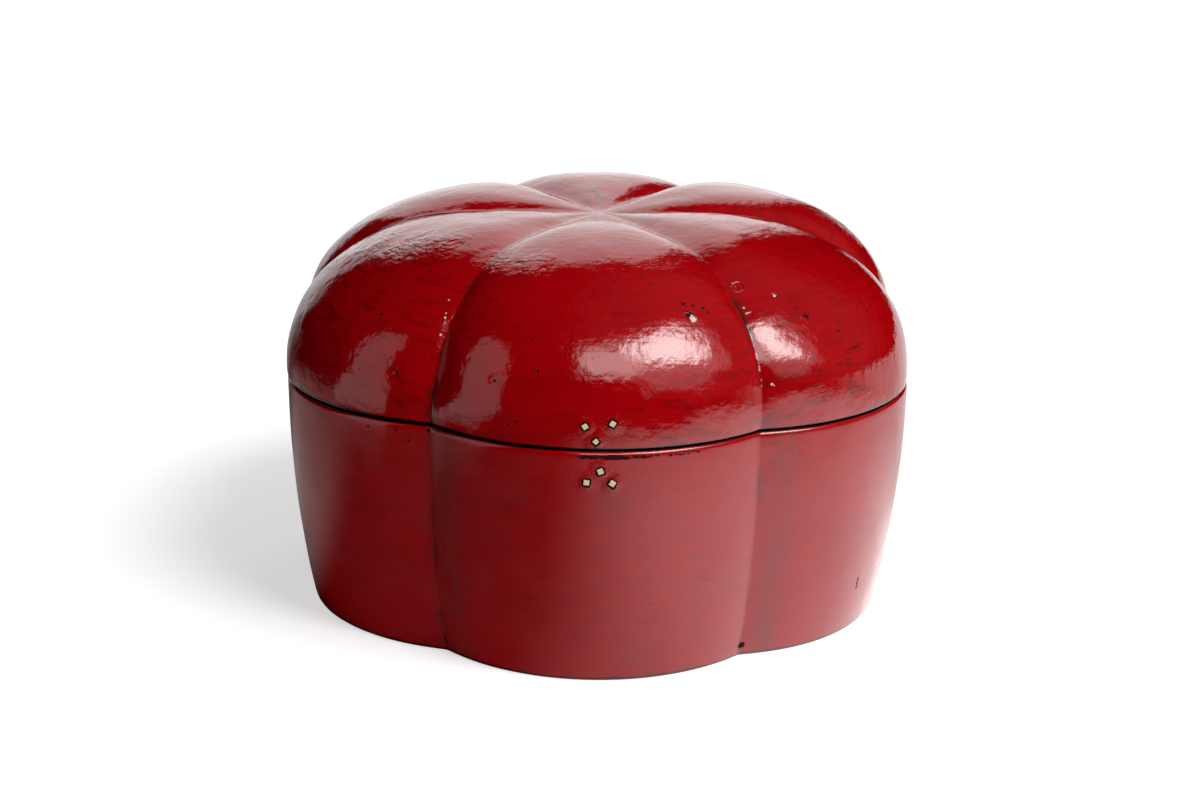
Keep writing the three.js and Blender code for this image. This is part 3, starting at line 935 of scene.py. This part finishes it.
def soft_box(tree, direction, azimuth, elevation, half_width, half_height, softness, level):
    """A soft-edged, rounded rectangle of light round a direction."""
    centre = way(azimuth, elevation)
    across = way(azimuth + 90, 0)
    upward = across.cross(centre)
    front = most(tree, dot(tree, direction, centre), LEAST_FRONT)
    powers = []
    for axis, half in ((across, half_width), (upward, half_height)):
        share = maths(tree, "DIVIDE", dot(tree, direction, axis), front)
        share = maths(tree, "DIVIDE", share, math.tan(math.radians(half)))
        powers.append(maths(tree, "POWER", maths(tree, "ABSOLUTE", share), CORNER_POWER))
    reach = maths(tree, "POWER", plus(tree, *powers), 1 / CORNER_POWER)
    return times(tree, ramp(tree, reach, 1 + softness / 2, 1 - softness / 2), level)


def make_world():
    world = bpy.data.worlds.new("studio")
    bpy.context.scene.world = world
    world.use_nodes = True
    world.cycles.sampling_method = "NONE"
    tree = world.node_tree
    background = tree.nodes["Background"]
    background.inputs["Color"].default_value = (1, 1, 1, 1)
    direction = tree.nodes.new("ShaderNodeTexCoord").outputs["Generated"]
    path = tree.nodes.new("ShaderNodeLightPath").outputs
    mirrored = most(tree, *(soft_box(tree, direction, *box) for box in SOFT_BOXES))
    level = most(tree, times(tree, mirrored, path["Is Glossy Ray"]), path["Is Camera Ray"])
    tree.links.new(level, background.inputs["Strength"])


make_world()

# Lamps light the box. Reflections don't see them, and see the world's soft boxes instead.
# Name, azimuth, elevation, distance from the middle of the box, width and radiance
LAMPS = (
    ("key_lamp", 47, 50, 1.6, 0.8, 12.2),
    ("side_lamp", 95, 15, 1.8, 1.0, 0.9),
    ("rear_lamp", 165, 25, 1.8, 1.0, 2.0),
)
BOX_MIDDLE = Vector((0, 0, 0.1))


def area_lamp(name, azimuth, elevation, distance, width, radiance):
    data = bpy.data.lights.new(name, "AREA")
    data.shape = "DISK"
    data.size = width
    data.energy = radiance * (math.pi * width / 2) ** 2
    lamp = bpy.data.objects.new(name, data)
    lamp.location = BOX_MIDDLE + distance * way(azimuth, elevation)
    lamp.rotation_euler = way(azimuth, elevation).to_track_quat("Z", "Y").to_euler()
    lamp.visible_glossy = False
    bpy.context.scene.collection.objects.link(lamp)


for lamp in LAMPS:
    area_lamp(*lamp)

# Camera, solved from the photograph

CAMERA_ELEVATION, CAMERA_AZIMUTH, CAMERA_ROLL = map(math.radians, (17.018, 0.209, 0.9178))
CAMERA_DISTANCE = 0.9757
TARGET_HEIGHT, TARGET_ACROSS = 0.0823, 0.00116
SENSOR_WIDTH, LENS = 36, 60.94


def make_camera():
    back = Vector((math.sin(CAMERA_AZIMUTH) * math.cos(CAMERA_ELEVATION),
                   -math.cos(CAMERA_AZIMUTH) * math.cos(CAMERA_ELEVATION), math.sin(CAMERA_ELEVATION)))
    level_right = Vector((math.cos(CAMERA_AZIMUTH), math.sin(CAMERA_AZIMUTH), 0))
    level_up = back.cross(level_right)
    right = math.cos(CAMERA_ROLL) * level_right + math.sin(CAMERA_ROLL) * level_up
    up = math.cos(CAMERA_ROLL) * level_up - math.sin(CAMERA_ROLL) * level_right
    place = Vector((0, 0, TARGET_HEIGHT)) + TARGET_ACROSS * level_right + CAMERA_DISTANCE * back
    data = bpy.data.cameras.new("camera")
    data.sensor_width = SENSOR_WIDTH
    data.lens = LENS
    camera = bpy.data.objects.new("camera", data)
    camera.matrix_world = Matrix((
        (right.x, up.x, back.x, place.x),
        (right.y, up.y, back.y, place.y),
        (right.z, up.z, back.z, place.z),
        (0, 0, 0, 1)))
    bpy.context.scene.collection.objects.link(camera)
    bpy.context.scene.camera = camera


make_camera()
bpy.context.scene.view_settings.view_transform = "Standard"
